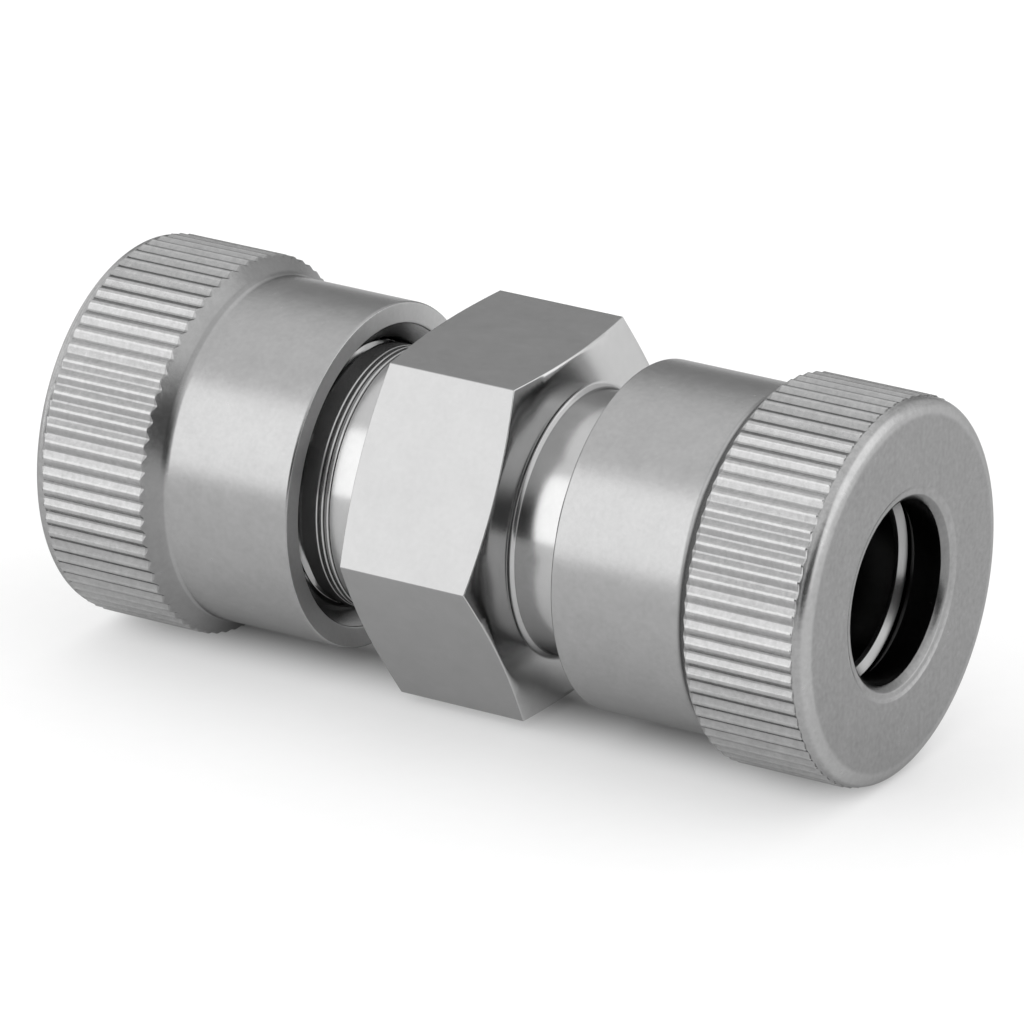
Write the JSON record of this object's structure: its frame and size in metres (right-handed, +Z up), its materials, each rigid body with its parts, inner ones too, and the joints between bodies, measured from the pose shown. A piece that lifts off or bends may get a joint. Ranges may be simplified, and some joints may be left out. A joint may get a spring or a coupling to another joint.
{
  "type": "vacuum union fitting",
  "caption": "Straight union fitting for vacuum tube: hexagonal body with a long knurled hand nut, ferrule and O-ring seal at each end.",
  "frame": {"origin": "centre of the fitting, on its axis, midway between the two nuts' end faces", "axes": "+X along the axis towards the right nut, +Z up with the fitting lying on its two knurls"},
  "size_m": [0.0632, 0.0292, 0.0278],
  "materials": {
    "polished_steel": "bright stainless steel, turned and milled faces",
    "satin_steel": "satin stainless steel with a fine even grain",
    "turned_steel": "stainless steel as turned",
    "black_rubber": "matte black fluorocarbon rubber"
  },
  "bodies": {
    "union_body": {"body": "polished_steel", "left_o_ring": "black_rubber", "right_o_ring": "black_rubber"},
    "left_ferrule": {"left_ferrule": "turned_steel"},
    "left_nut": {"left_nut": "satin_steel"},
    "right_ferrule": {"right_ferrule": "turned_steel"},
    "right_nut": {"right_nut": "satin_steel"}
  },
  "joints": [
    {"name": "left_nut_travel", "type": "slide", "parent": "union_body", "child": "left_ferrule", "axis": [-1, 0, 0], "range_m": [0, 0.0094]},
    {"name": "left_nut_turn", "type": "hinge", "parent": "left_ferrule", "child": "left_nut", "pos_m": [-0.028, 0, 0], "axis": [-1, 0, 0], "range_deg": [0, 3197]},
    {"name": "right_nut_travel", "type": "slide", "parent": "union_body", "child": "right_ferrule", "axis": [1, 0, 0], "range_m": [0, 0.0094]},
    {"name": "right_nut_turn", "type": "hinge", "parent": "right_ferrule", "child": "right_nut", "pos_m": [0.028, 0, 0], "axis": [1, 0, 0], "range_deg": [0, 3197]}
  ],
  "couplings": [
    {"joint": "left_nut_travel", "follows": "left_nut_turn", "m_per_rad": 0.00016844},
    {"joint": "right_nut_travel", "follows": "right_nut_turn", "m_per_rad": 0.00016844}
  ]
}
